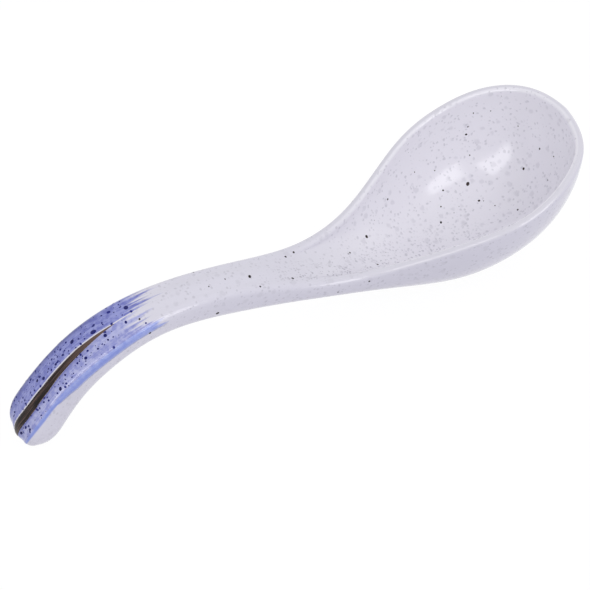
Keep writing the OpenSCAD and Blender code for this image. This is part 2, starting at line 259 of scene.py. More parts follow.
def mesh_object(name, points, faces, maps=None):
    """A smooth object at the origin from points in millimetres, with doubled points merged."""
    mesh = bpy.data.meshes.new(name)
    mesh.from_pydata((np.asarray(points) * MM).tolist(), [], faces)
    if maps is not None:
        layer = mesh.uv_layers.new(name="Brush")
        corner = np.empty(len(mesh.loops), int)
        mesh.loops.foreach_get("vertex_index", corner)
        layer.data.foreach_set("uv", np.asarray(maps)[corner].ravel())
    work = bmesh.new()
    work.from_mesh(mesh)
    bmesh.ops.remove_doubles(work, verts=work.verts, dist=WELD)
    bmesh.ops.dissolve_degenerate(work, edges=work.edges, dist=SLIVER)
    bmesh.ops.recalc_face_normals(work, faces=work.faces)
    work.to_mesh(mesh)
    work.free()
    mesh.polygons.foreach_set("use_smooth", [True] * len(mesh.polygons))
    return linked(name, mesh)


print("points closer than %g mm are merged" % (WELD / MM))

# %% The glaze coat as a shell
front_from = 0.78           # the t from which the rings crowd toward the tip of the bowl
end_start = end_radius / end_run    # the t at which the rounding of the handle's end is over


def rings_of(end_count, body_count, front_count):
    """The t of each ring, and its turn round the handle's end."""
    turns = np.linspace(0, 90, end_count, endpoint=False)
    ends = end_start * (1 - np.cos(np.radians(turns)))
    front = front_from + (1 - front_from) * np.sin(np.linspace(0, np.pi / 2, front_count + 1))
    middle = np.linspace(end_start, front_from, body_count, endpoint=False)
    t = np.concatenate([ends, middle, front])
    return t, np.concatenate([turns, np.full(len(t) - end_count, 90.0)])


def shell(name, skin, rings, columns):
    """A closed skin. rings: how many round the end, along the body and at the front.
    columns: how many for each unit of s on one half."""
    t, turns = [a[:, None] for a in rings_of(*rings)]
    parts = [np.linspace(k, k + 1, n, endpoint=False) for k, n in enumerate(columns)]
    half = np.concatenate(parts + [[4.0]])
    s = np.concatenate([half, half[-2:0:-1]])
    side = np.concatenate([np.ones(len(half)), -np.ones(len(half) - 2)])
    grid = skin_points(t, s, side, skin, turns)
    grid[-1, :, 1] = 0
    n, m = grid.shape[:2]
    ring, col = np.meshgrid(np.arange(n - 1), np.arange(m), indexing="ij")
    nxt = (col + 1) % m
    quads = np.stack([ring * m + col, (ring + 1) * m + col, (ring + 1) * m + nxt, ring * m + nxt],
                     axis=-1)
    faces = quads.reshape(-1, 4).tolist() + [[n * m, k, (k + 1) % m] for k in range(m)]
    points = np.vstack([grid.reshape(-1, 3), grid[0].mean(axis=0)])
    maps = np.vstack([brush_map(t, s, side).reshape(-1, 2), [0, 0]])
    return mesh_object(name, points, faces, maps)


glaze_coat = shell("glaze_coat", 0, (14, 190, 70), (30, 10, 10, 26))
print("glaze:", len(glaze_coat.data.polygons), "faces")

# %% [markdown]
# ## The clay and its foot
# The clay lies 0.4 mm under the glaze and shows only at the foot, a low flat pad under the bowl.
# A potter wipes the glaze off it, or the spoon would melt onto the kiln shelf. A superellipse
# gives the pad's outline, and five outlines above each other give its flat face, its rounded
# edge and the wall that runs up into the clay. A Boolean then makes the two one closed skin.

# %% The foot
oval_power = 0.85   # 1 is an ellipse, and less is squarer
# Each outline of the pad, in mm: how far it is drawn in, and how high it lies.
foot_outlines = [(0.50, 0), (0.25, 0.08), (0.08, 0.3), (0, 0.7), (0, 3.2)]


def foot_pad(count=96):
    turn = np.linspace(0, 2 * np.pi, count, endpoint=False)
    circle = np.stack([np.cos(turn), np.sin(turn)], axis=-1)
    foot = np.array([foot_length, foot_width])
    oval = foot / 2 * np.sign(circle) * np.abs(circle) ** oval_power
    points, faces = [], []
    for cut, height in foot_outlines:
        points += [[*p, height] for p in oval * (1 - 2 * cut / foot)]
    for layer in range(len(foot_outlines) - 1):
        for k in range(count):
            a, b = layer * count + k, layer * count + (k + 1) % count
            faces.append([a, b, b + count, a + count])
    top = (len(foot_outlines) - 1) * count
    return points, faces + [list(range(count - 1, -1, -1)), list(range(top, top + count))]


pad = mesh_object("foot_pad", *foot_pad())
print("foot:", len(pad.data.polygons), "faces")

# %% The clay body
clay = shell("fired_clay", glaze, (6, 90, 36), (14, 4, 4, 12))
union = clay.modifiers.new("foot", "BOOLEAN")
union.operation, union.solver, union.object = "UNION", "EXACT", pad
bpy.context.view_layer.update()
fused = bpy.data.meshes.new_from_object(clay.evaluated_get(bpy.context.evaluated_depsgraph_get()))
clay.modifiers.remove(union)
clay.data = fused
bpy.data.objects.remove(pad)
print("clay:", len(clay.data.polygons), "faces")

# %% [markdown]
# ## The brush strokes
# A loaded brush was drawn up the hook from its end: a broad blue stroke on the far half, another
# on the near half, a thin one on the near shoulder and a dark brown one just beside the middle.
# They could all be drawn in the glaze's own material, but then none could be looked at or left
# off by itself. So each is its own thin patch that hugs the glaze. Its borders run just under the
# face of the glaze, so the colour has no step, and its material fades it into streaks where the
# brush ran dry.

# %% Where the strokes run
# Along the handle in mm, and across its top as v on the brush map.
brown_run = np.array([0, 5, 10, 14, 20, 27, 33, 39, 44.5])
brown_far = np.array([0.25, 0.2, 0, -0.1, -0.18, -0.11, -0.02, -0.05, -0.14])
brown_near = np.array([-0.3, -0.4, -0.6, -0.7, -0.73, -0.57, -0.44, -0.28, -0.17])
# The thin blue stroke slides from the crest down to the side: its two borders as s.
edge_run = np.array([0, 6, 13, 19, 26, 60])
edge_upper = np.array([1.95, 1.9, 1.64, 1.5, 1.45, 1.6])
edge_lower = np.array([1.74, 1.54, 1.16, 1.0, 0.93, 0.955])
print("the brown stroke is at most %.2f of the half width wide" % (brown_far - brown_near).max())


def across_at(t, run, values):
    return np.interp(np.interp(t, steps, length_at), run, values)


def t_of(length):
    return float(np.interp(length, length_at, steps))


# %% Strokes as patches of the surface
first_turn = 26     # degrees round the handle's end, where every stroke begins
fade = 0.5          # mm from the border in which a stroke rises to its full lift
sunk = 0.02         # mm that its border lies under the face of the glaze
root = 0.12         # mm that its underside lies under that face


def stroke(name, length, path, lift, count=150):
    """path(t) gives s and v from border to border. Its brush map has v from 0 to 1 across it."""
    turns = np.linspace(first_turn, 90, 16, endpoint=False)
    t = np.concatenate([end_start * (1 - np.cos(np.radians(turns))),
                        np.linspace(end_start, t_of(length), count)])
    turns = np.concatenate([turns, np.full(count, 90.0)])[:, None]
    s, v = [np.array(a) for a in zip(*[path(a) for a in t])]
    t, side = t[:, None], np.where(v < 0, -1.0, 1.0)
    row = rows_at(t.ravel())
    keep = (end_radius * (1 - np.sin(np.radians(turns)))).ravel()
    half = row[:, 3] - keep
    crest = 1 - np.minimum(row[:, 8], widest_lip * np.minimum(half, row[:, 4] - 2 * keep)) / half
    n, m = s.shape
    share = np.abs(v) * crest[:, None]
    face = skin_points(t, s, side, np.zeros((n, m)), turns, share)
    across = np.cumsum(np.linalg.norm(np.diff(face, axis=1, prepend=face[:, :1]), axis=2), axis=1)
    width = across[:, -1:]
    risen = np.minimum(across, width - across) / np.minimum(fade, width / 3)
    from_end = np.minimum(np.arange(n), np.arange(n)[::-1])[:, None] / 3    # over three rings
    risen = np.minimum(np.minimum(risen, from_end), 1)
    lifts = lift * risen - sunk, np.full((n, m), -root)
    points = [skin_points(t, s, side, -height, turns, share) for height in lifts]
    u = np.broadcast_to(np.interp(t, steps, length_at) * MM, (n, m))
    maps = np.tile(np.stack([u, across / width], axis=-1).reshape(-1, 2), (2, 1))
    cell = np.arange(n * m).reshape(n, m)
    top = np.stack([cell[:-1, :-1], cell[1:, :-1], cell[1:, 1:], cell[:-1, 1:]], axis=-1)
    top = top.reshape(-1, 4)
    faces = top.tolist() + (top[:, ::-1] + n * m).tolist()
    loop = np.concatenate([cell[0, :-1], cell[:-1, -1], cell[-1, :0:-1], cell[:0:-1, 0]])
    for a, b in zip(loop.tolist(), np.roll(loop, -1).tolist()):
        faces.append([b, a, a + n * m, b + n * m])
    return mesh_object(name, np.concatenate([p.reshape(-1, 3) for p in points]), faces, maps)


print("a stroke begins %.1f mm along the handle" % np.interp(
    end_start * (1 - math.cos(math.radians(first_turn))), steps, length_at))

# %% The four paths
on_top = 2.5    # any s between 2 and 3: on the top of the handle v alone gives the place


def far_path(t):
    """From the brown stroke over the far crest and down the side, to below its widest point."""
    inner = across_at(t, brown_run, brown_far) + 0.02
    return (np.concatenate([np.full(16, on_top), np.linspace(2, 0.8, 12)]),
            np.concatenate([np.linspace(inner, 1, 16), np.ones(12)]))


def near_path(t):
    """It slips a little under the brown and the edge stroke, so that no gap shows between them."""
    inner = across_at(t, brown_run, brown_near) + 0.06
    outer = across_at(t, edge_run, edge_upper) - 0.2
    return (np.concatenate([np.full(14, on_top), np.linspace(2, outer, 6)]),
            np.concatenate([np.linspace(inner, -1, 14), -np.ones(6)]))


def edge_path(t):
    borders = across_at(t, edge_run, edge_upper), across_at(t, edge_run, edge_lower)
    return np.linspace(*borders, 12), -np.ones(12)


def brown_path(t):
    borders = across_at(t, brown_run, brown_far), across_at(t, brown_run, brown_near)
    return np.full(16, on_top), np.linspace(*borders, 16)


# Each has its length and its lift over the glaze, in mm.
far_wash = stroke("far_wash", 60, far_path, 0.05)
near_wash = stroke("near_wash", 60, near_path, 0.05)
edge_wash = stroke("edge_wash", 58, edge_path, 0.07)
iron_stroke = stroke("iron_stroke", 44.5, brown_path, 0.09)
print("strokes:", [len(o.data.polygons) for o in (far_wash, near_wash, edge_wash, iron_stroke)])

# %% [markdown]
# ## Materials
# Nearly everything that shows is glass of some kind: the glaze is a glass melted onto clay, and
# the colours are metal oxides in that glass. Cobalt gives the blue and iron the brown. So they
# share one kind of gloss, with the IOR of glass, 1.5, and differ in colour. The thick dark colours
# mirror a little less here, with a lower IOR, so that they stay dark. One function adds a node
# with its settings and links, and one turns hex colours to linear light.

# %% Helpers for nodes and colours
EASED = {"interpolation_type": "SMOOTHSTEP"}    # for a Map Range that starts and ends gently
COLOURS = {"data_type": "RGBA"}                 # for a Mix node that mixes colours
TIMES = {"operation": "MULTIPLY"}               # for a Math node that multiplies


def add(tree, kind, inputs=None, **settings):
    """A node with its settings; a node or socket among the inputs is linked, a value is set.
    A kind without the word Node in it is short for a shader node's."""
    node = tree.nodes.new(kind if "Node" in kind else "ShaderNode" + kind)
    for name, value in settings.items():
        setattr(node, name, value)
    for key, value in (inputs or {}).items():
        if isinstance(value, bpy.types.Node):
            value = next(socket for socket in value.outputs if socket.enabled)
        if isinstance(value, bpy.types.NodeSocket):
            tree.links.new(value, node.inputs[key])
        else:
            node.inputs[key].default_value = value
    return node


def linear(code):
    """An sRGB hex colour as linear light, with full alpha."""
    parts = [int(code[k:k + 2], 16) / 255 for k in (1, 3, 5)]
    return (*[p / 12.92 if p <= 0.04045 else ((p + 0.055) / 1.055) ** 2.4 for p in parts], 1.0)


def new_material(name):
    material = bpy.data.materials.new(name)
    material.use_nodes = True
    material.node_tree.nodes.clear()
    return material, material.node_tree


print("lavender, #d9d7e3, in linear light:", [round(part, 3) for part in linear("#d9d7e3")])

# %% [markdown]
# ## The white glaze
# A tin-white glaze over a speckled clay: lavender over the whole, lighter inside the bowl, and
# greyer where it thins on the lip. Soft pale mottles of 0.4 to 1.4 mm show where iron in
# the clay breaks through. A Voronoi pattern has one cell for each mottle, and the cell's own
# random number gives its size, so they scatter without a grid. They crowd together along the near
# side of the neck and the bowl. The same function colours the ground under the brush strokes.

# %% The colour of the glaze, shared by all coats
cloud_size = 35     # mm across one cloud of slightly different lavender
wobble_size = 1.1   # mm: this fine a noise pushes the mottles out of round
# Kinds of mottle: cell and largest radius in mm, the share of cells left empty (below 0, even
# the smallest mottle shows), tone, and strength. The crowded kind gets its strength from a map.
mottles = [(2.1, 1.0, 0.0, "#c3c1cc", 0.34), (1.0, 0.48, 0.15, "#b3b1bc", 0.42)]
crowded = (0.9, 0.42, -0.5, "#aaa8b4")


def glaze_ground(tree, lighter_inside=None, crowd=None):
    """The colour of the bare glaze, on object coordinates in metres. lighter_inside: where it is
    lighter, inside the bowl. crowd: where a third size of mottle crowds in between the others."""
    where = add(tree, "TexCoord").outputs["Object"]
    cloud = add(tree, "TexNoise", {"Vector": where, "Scale": 1 / (cloud_size * MM), "Detail": 3.0})
    cloud = add(tree, "MapRange", {"Value": cloud, 1: 0.3, 2: 0.7}, **EASED)
    colour = add(tree, "Mix", {0: cloud, 6: linear("#d9d7e3"), 7: linear("#dddbe7")}, **COLOURS)
    if lighter_inside is not None:
        # The glaze turns lighter, #edebf3, inside the bowl.
        colour = add(tree, "Mix", {0: lighter_inside, 6: colour, 7: linear("#edebf3")}, **COLOURS)
    wobble = add(tree, "TexNoise",
                 {"Vector": where, "Scale": 1 / (wobble_size * MM), "Detail": 2.0})
    moved = add(tree, "VectorMath",
                {0: wobble.outputs["Color"], 1: (MM,) * 3, 2: where}, operation="MULTIPLY_ADD")
    layers = mottles if crowd is None else mottles + [(*crowded, crowd)]
    for cell, radius, empty, tone, strength in layers:
        cells = add(tree, "TexVoronoi", {"Vector": moved, "Scale": 1 / (cell * MM)})
        chance = add(tree, "SeparateColor", {0: cells.outputs["Color"]}).outputs[0]
        size = add(tree, "MapRange",
                   {"Value": chance, 1: empty, 2: 1.0, 3: -0.1, 4: radius / cell})
        spot = add(tree, "Math", {0: size, 1: cells.outputs["Distance"]}, operation="SUBTRACT")
        mask = add(tree, "MapRange", {"Value": spot, 1: -0.08, 2: 0.2, 4: strength}, **EASED)
        colour = add(tree, "Mix", {0: mask, 6: colour, 7: linear(tone)}, **COLOURS)
    return colour


print("one mottle for each", " or ".join("%g mm" % cell for cell, *_ in mottles))

# %% The gloss, shared by all glass
swell_size = 6      # mm from one faint swell of a dipped glaze to the next


def glossy(tree, colour, rough=0.14, relief=0.05, grain=None, ior=1.5):
    """A glass-bright surface. relief: how strong its swells are. grain: a height laid over them."""
    where = add(tree, "TexCoord").outputs["Object"]
    swell = add(tree, "TexNoise", {"Vector": where, "Scale": 1 / (swell_size * MM), "Detail": 2.0})
    height = add(tree, "Bump", {"Height": swell, "Strength": relief, "Distance": 1 * MM})
    if grain is not None:
        height = add(tree, "Bump",
                     {"Height": grain, "Strength": 0.3, "Distance": 0.1 * MM, "Normal": height})
    shader = add(tree, "BsdfPrincipled",
                 {"Base Color": colour, "Roughness": rough, "IOR": ior, "Normal": height})
    add(tree, "OutputMaterial", {"Surface": shader})


print("from one swell of the glaze to the next it is %g mm" % swell_size)

# %% The glaze on the spoon
# Places on the brush map: u in mm along the spoon, and v across it.
bowl_from, bowl_to = 100, 130       # the hollow becomes a bowl between these
crowd_middle = 126                  # where the mottles crowd most
lip_middle = 1.08                   # the v of the top of the lip


def distance_from(tree, value, middle):
    """How far the value is from the middle, on either side of it."""
    away = add(tree, "Math", {0: value, 1: middle}, operation="SUBTRACT")
    return add(tree, "Math", {0: away}, operation="ABSOLUTE")


white_glaze, tree = new_material("stoneware_glaze_white")
uv = add(tree, "UVMap", uv_map="Brush")
axes = add(tree, "SeparateXYZ", {0: uv}).outputs
from_middle = add(tree, "Math", {0: axes[1]}, operation="ABSOLUTE")
off_lip = distance_from(tree, from_middle, lip_middle)
on_lip = add(tree, "MapRange", {"Value": off_lip, 1: 0.08, 2: 0.16, 3: 1.0, 4: 0.0}, **EASED)
in_bowl = add(tree, "MapRange", {"Value": axes[0], 1: bowl_from * MM, 2: bowl_to * MM})
thin = add(tree, "Math", {0: on_lip, 1: in_bowl}, **TIMES)
inside = add(tree, "MapRange", {"Value": from_middle, 1: 0.9, 2: 1.0, 3: 1.0, 4: 0.0}, **EASED)
# Lighter inside the bowl, away from the lip.
lighter_inside = add(tree, "Math", {0: inside, 1: in_bowl}, **TIMES)
near_side = add(tree, "MapRange", {"Value": axes[1], 1: 0.35, 2: -0.3, 4: 0.8}, **EASED)
from_neck = distance_from(tree, axes[0], crowd_middle * MM)
at_neck = add(tree, "MapRange",
              {"Value": from_neck, 1: 22 * MM, 2: 44 * MM, 3: 1.0, 4: 0.0}, **EASED)
crowd = add(tree, "Math", {0: near_side, 1: at_neck}, **TIMES)
crowd = add(tree, "Math", {0: crowd, 1: inside}, **TIMES)
ground = glaze_ground(tree, lighter_inside, crowd)
glossy(tree, add(tree, "Mix", {0: thin, 6: ground, 7: linear("#dbd9e3")}, **COLOURS))
glaze_coat.data.materials.append(white_glaze)
print(white_glaze.name, "has", len(tree.nodes), "nodes")

# %% [markdown]
# ## The bare clay
# Fired stoneware without glaze: matt, sandy and warm. Grog, the crushed fired clay mixed into it,
# gives it dark grains of about 0.4 mm, and the fire leaves patches some 5 mm wide.

# %% Fired clay
grog_size, patch_size = 0.4, 5      # mm

bare_clay, tree = new_material("stoneware_bare")
where = add(tree, "TexCoord").outputs["Object"]
grog = add(tree, "TexNoise", {"Vector": where, "Scale": 1 / (grog_size * MM), "Detail": 4.0})
dark = add(tree, "MapRange", {"Value": grog, 1: 0.62, 2: 0.72}, **EASED)
patchy = add(tree, "TexNoise", {"Vector": where, "Scale": 1 / (patch_size * MM), "Detail": 2.0})
patchy = add(tree, "MapRange", {"Value": patchy, 1: 0.3, 2: 0.7}, **EASED)
colour = add(tree, "Mix", {0: patchy, 6: linear("#c9bca6"), 7: linear("#bba98f")}, **COLOURS)
colour = add(tree, "Mix", {0: dark, 6: colour, 7: linear("#7d6450")}, **COLOURS)
sand = add(tree, "Bump", {"Height": grog, "Strength": 0.5, "Distance": 0.1 * MM})
shader = add(tree, "BsdfPrincipled", {"Base Color": colour, "Roughness": 0.85, "Normal": sand})
add(tree, "OutputMaterial", {"Surface": shader})
clay.data.materials.append(bare_clay)
print(bare_clay.name, "has", len(tree.nodes), "nodes")

# %% [markdown]
# ## The brushed blue
# Cobalt under the glaze: a thin wash is pale, and it pools dark along the edge of a stroke. The
# bristles leave lines about 18 mm long, and toward the tail more and more of them run dry. The
# lines are drawn about 0.5 mm apart, coarser than bristles are, so that they show. The brush map
# stretches one noise into such lines, and the dryness rises with u.

# %% Lines along the brush
bristle_run = 18    # mm


def brush_lines(tree, bristles):
    """The brush map's u in mm and its v, and a vector that counts the bristles."""
    uv = add(tree, "UVMap", uv_map="Brush")
    axes = add(tree, "SeparateXYZ", {0: uv}).outputs
    u = add(tree, "Math", {0: axes[0], 1: MM}, operation="DIVIDE")
    along_it = add(tree, "Math", {0: u, 1: bristle_run}, operation="DIVIDE")
    across_it = add(tree, "Math", {0: axes[1], 1: bristles}, **TIMES)
    return u, axes[1], add(tree, "CombineXYZ", {0: along_it, 1: across_it})


print("one bristle line is about %g mm long" % bristle_run)

# %% Cobalt washes
pool_size = 1.3                 # mm across one darker or paler spot of the wash
wet_until, dry_after = 14, 6    # mm before the tail and into it, where the dark rim ends


def washed(name, bristles, tail, soft, deep, tones):
    """bristles: how many lie side by side. tail: from where to where it dries, in mm. soft: over
    which share of the width each border fades. deep: where it darkens, from one share of the width
    to another, and how much. tones: pale, middle and deep."""
    material, tree = new_material(name)
    u, across, lines = brush_lines(tree, bristles)
    fine = add(tree, "TexNoise", {"Vector": lines, "Scale": 1.0, "Detail": 4.0, "Roughness": 0.6})
    broad = add(tree, "TexNoise", {"Vector": lines, "Scale": 0.3, "Detail": 1.0})
    where = add(tree, "TexCoord").outputs["Object"]
    pool = add(tree, "TexNoise", {"Vector": where, "Scale": 1 / (pool_size * MM), "Detail": 4.0})
    lively = add(tree, "Math", {0: broad, 1: 0.5}, **TIMES)
    lively = add(tree, "Math", {0: fine, 1: 0.7, 2: lively}, operation="MULTIPLY_ADD")
    dry = add(tree, "MapRange", {"Value": u, 1: tail[0], 2: tail[1], 3: 0.24, 4: 0.86})
    left = add(tree, "Math", {0: lively, 1: dry}, operation="SUBTRACT")
    cover = add(tree, "MapRange", {"Value": left, 1: 0.0, 2: 0.14}, **EASED)
    rising = add(tree, "MapRange", {"Value": across, 1: 0.0, 2: soft[0]}, **EASED)
    falling = add(tree, "MapRange",
                  {"Value": across, 1: 1 - soft[1], 2: 1.0, 3: 1.0, 4: 0.0}, **EASED)
    cover = add(tree, "Math", {0: cover, 1: rising}, **TIMES)
    cover = add(tree, "Math", {0: cover, 1: falling}, **TIMES)
    strength = add(tree, "Math", {0: fine, 1: pool}, operation="ADD")
    strength = add(tree, "MapRange", {"Value": strength, 1: 0.82, 2: 1.2}, **EASED)
    pale, middle, darkest = [linear(tone) for tone in tones]
    blue = add(tree, "Mix", {0: strength, 6: pale, 7: middle}, **COLOURS)
    rim = add(tree, "MapRange", {"Value": across, 1: deep[0], 2: deep[1], 4: deep[2]}, **EASED)
    wet = add(tree, "MapRange",
              {"Value": u, 1: tail[0] - wet_until, 2: tail[0] + dry_after, 3: 1.0, 4: 0.0}, **EASED)
    rim = add(tree, "Math", {0: rim, 1: wet}, **TIMES)
    blue = add(tree, "Mix", {0: rim, 6: blue, 7: darkest}, **COLOURS)
    glossy(tree, add(tree, "Mix", {0: cover, 6: glaze_ground(tree), 7: blue}, **COLOURS))
    return material


for piece, name, *settings in (
        (far_wash, "cobalt_wash_far", 19, (44, 66), (0.012, 0.05), (0.28, 0.55, 0.9),
         ("#959bd8", "#6b71bd", "#3c4089")),
        (near_wash, "cobalt_wash_near", 8, (40, 64), (0.02, 0.06), (0.34, 0.03, 0.85),
         ("#b6b9e3", "#8c91cf", "#5a5fab")),
        (edge_wash, "cobalt_wash_edge", 4, (50, 62), (0.1, 0.35), (0.2, 0.5, 0.6),
         ("#a4b0e8", "#8b9ae0", "#7d8edb"))):
    piece.data.materials.append(washed(name, *settings))
    print(name, "dries out from %g to %g mm along the handle" % settings[1])

# %% [markdown]
# ## The iron stroke
# A slip rich in iron, brushed on thick over the blue. It fires to a glossy brown-black with dry
# grey-brown bristle lines, and turns to taupe where the stroke thins out toward its point.

# %% Iron brown
thin_from, thin_to = 22, 44     # mm along the handle, where the stroke thins out

iron, tree = new_material("iron_slip_brown")
u, _, lines = brush_lines(tree, 6)
bristle = add(tree, "TexNoise", {"Vector": lines, "Scale": 1.6, "Detail": 4.0, "Roughness": 0.7})
lifted = add(tree, "MapRange", {"Value": bristle, 1: 0.48, 2: 0.62, 4: 0.85}, **EASED)
thin = add(tree, "MapRange", {"Value": u, 1: thin_from, 2: thin_to}, **EASED)
colour = add(tree, "Mix", {0: thin, 6: linear("#150c0e"), 7: linear("#67524a")}, **COLOURS)
colour = add(tree, "Mix", {0: lifted, 6: colour, 7: linear("#705950")}, **COLOURS)
glossy(tree, colour, rough=0.2, relief=0.06, grain=bristle, ior=1.3)
iron_stroke.data.materials.append(iron)
print(iron.name, "has", len(tree.nodes), "nodes")

# %% [markdown]
# ## Spatter and grains
# Drops flew off the brush over the blue, and grains of iron melted through the glaze everywhere.
# Both are low domes of glass that lie on a surface. Spots in a material would do from afar, but a
# dome catches the light. So Geometry Nodes scatters them: one tree distributes points on faces,
# sets a flattened sphere on each along its normal, and makes it all real. A second tree puts the
# large ones, whose places were chosen one by one, on given points.

# %% The two trees
SPIN_SEED, LENGTH_SEED = 7, 3
NUMBER = {"data_type": "FLOAT"}     # for a Random Value or an attribute that is one number
inputs = {"Geometry": "Geometry", "Density": "Float", "Smallest": "Float", "Largest": "Float",
          "Flatness": "Float", "Seed": "Int", "Material": "Material"}


def dome_tree(name, placed):
    """placed: on given points with their own facing and size, and not scattered over faces."""
    group = bpy.data.node_groups.new(name, "GeometryNodeTree")
    for label, kind in inputs.items():
        group.interface.new_socket(label, in_out="INPUT", socket_type="NodeSocket" + kind)
    group.interface.new_socket("Geometry", in_out="OUTPUT", socket_type="NodeSocketGeometry")
    given = add(group, "NodeGroupInput").outputs
    chance = add(group, "FunctionNodeRandomValue", {"Seed": given["Seed"]}, **NUMBER)
    if placed:
        points = given["Geometry"]
        toward = add(group, "GeometryNodeInputNamedAttribute", {"Name": "facing"},
                     data_type="FLOAT_VECTOR")
        turned = add(group, "FunctionNodeAlignRotationToVector", {"Vector": toward}, axis="Z")
        size = add(group, "GeometryNodeInputNamedAttribute", {"Name": "size"}, **NUMBER)
    else:
        amount = add(group, "GeometryNodeInputNamedAttribute", {"Name": "amount"}, **NUMBER)
        density = add(group, "Math", {0: given["Density"], 1: amount}, **TIMES)
        spots = add(group, "GeometryNodeDistributePointsOnFaces",
                    {"Mesh": given["Geometry"], "Density": density, "Seed": given["Seed"]},
                    distribute_method="RANDOM").outputs
        points, turned = spots["Points"], spots["Rotation"]
        rare = add(group, "Math", {0: chance, 1: 2.0}, operation="POWER")
        size = add(group, "MapRange", {"Value": rare, 3: given["Smallest"], 4: given["Largest"]})
    spin = add(group, "FunctionNodeRandomValue", {"Seed": SPIN_SEED, 3: 2 * math.pi}, **NUMBER)
    about = add(group, "CombineXYZ", {2: spin})
    turned = add(group, "FunctionNodeRotateRotation", {0: turned, 1: about}, rotation_space="LOCAL")
    longer = add(group, "FunctionNodeRandomValue", {"Seed": LENGTH_SEED, 2: 0.8, 3: 1.35}, **NUMBER)
    wide = add(group, "Math", {0: size, 1: longer}, **TIMES)
    low = add(group, "Math", {0: size, 1: given["Flatness"]}, **TIMES)
    scale = add(group, "CombineXYZ", {0: wide, 1: size, 2: low})
    ball = add(group, "GeometryNodeMeshIcoSphere", {"Radius": 0.5, "Subdivisions": 3})
    made = add(group, "GeometryNodeInstanceOnPoints",
               {"Points": points, "Instance": ball, "Rotation": turned, "Scale": scale})
    made = add(group, "GeometryNodeStoreNamedAttribute",
               {"Geometry": made, "Name": "shade", "Value": chance}, domain="INSTANCE", **NUMBER)
    made = add(group, "GeometryNodeRealizeInstances", {"Geometry": made})
    made = add(group, "GeometryNodeSetShadeSmooth", {"Geometry": made})
    made = add(group, "GeometryNodeSetMaterial", {"Geometry": made, "Material": given["Material"]})
    add(group, "NodeGroupOutput", {"Geometry": made})
    return group


scatter_tree = dome_tree("domes_scattered", False)
placed_tree = dome_tree("domes_placed", True)
print("trees:", len(scatter_tree.nodes), "and", len(placed_tree.nodes), "nodes")

# %% Running a tree
def grown(name, source, group, **values):
    """Runs a tree on source and returns the result as a plain mesh object."""
    modifier = source.modifiers.new("grow", "NODES")
    modifier.node_group = group
    for item in group.interface.items_tree:
        if item.in_out == "INPUT" and item.name in values:
            modifier[item.identifier] = values[item.name]
    bpy.context.view_layer.update()
    result = source.evaluated_get(bpy.context.evaluated_depsgraph_get())
    mesh = bpy.data.meshes.new_from_object(result)
    source.modifiers.remove(modifier)
    while mesh.materials and mesh.materials[0] is None:     # the sphere's own empty slot
        mesh.materials.pop(index=0)
    print(name + ":", len(mesh.polygons), "faces")
    return linked(name, mesh)


# %% [markdown]
# The large drops and grains were placed one by one: t along the spoon, v across it on the brush
# map, and a width in millimetres.

# %% Points and facings on the glaze
step_t, step_s = 0.002, 0.02    # small steps along and across, whose cross product faces outwards


def mark_points(name, marks, lift=0.0):
    t, v, size = np.array(marks).T
    side, s = np.where(v < 0, -1.0, 1.0), s_of(v)
    spot = skin_points(t, s, side, -lift)
    ahead = skin_points(t + step_t, s, side, -lift)
    aside = skin_points(t, s - step_s, side, -lift)
    facing = np.cross(ahead - spot, (aside - spot) * side[:, None])
    facing /= np.linalg.norm(facing, axis=1)[:, None]
    mesh = bpy.data.meshes.new(name)
    mesh.from_pydata((spot * MM).tolist(), [], [])
    facings = mesh.attributes.new("facing", "FLOAT_VECTOR", "POINT")
    facings.data.foreach_set("vector", facing.ravel())
    mesh.attributes.new("size", "FLOAT", "POINT").data.foreach_set("value", size * MM)
    return linked(name, mesh)


print("s is %g on the crest and %g at the widest point" % tuple(s_of([1, 1 + shoulder_share])))

# %% The marks
drops = [
    (0.26, 0.45, 1.2), (0.24, 0.86, 0.95), (0.255, 0.74, 0.5), (0.215, 0.62, 0.75),
    (0.21, 0.2, 1.3), (0.225, 0.25, 0.5), (0.195, 0.7, 0.55), (0.18, 0.65, 1.05), (0.165, 0.5, 0.5),
    (0.16, 0.33, 0.7), (0.145, 0.17, 0.7), (0.133, 0.36, 0.5), (0.12, 0.14, 1.0), (0.11, 0.45, 0.8),
    (0.1, 0.1, 0.6), (0.078, 0.6, 0.55), (0.053, 0.56, 0.6), (0.22, -0.45, 0.95),
    (0.25, -0.47, 0.7), (0.22, -0.76, 0.5), (0.203, -0.84, 0.55), (0.183, -0.84, 0.9),
    (0.17, -0.76, 0.6), (0.147, -0.79, 0.5), (0.13, -1.08, 0.8), (0.107, -1.04, 0.6),
    (0.1, -0.89, 0.55), (0.09, -0.88, 0.65), (0.058, -1.0, 0.8), (0.055, -0.68, 0.7),
    (0.042, -0.6, 0.9), (0.27, -1.07, 0.5), (0.23, 0.92, 0.5), (0.245, 0.62, 0.4)]
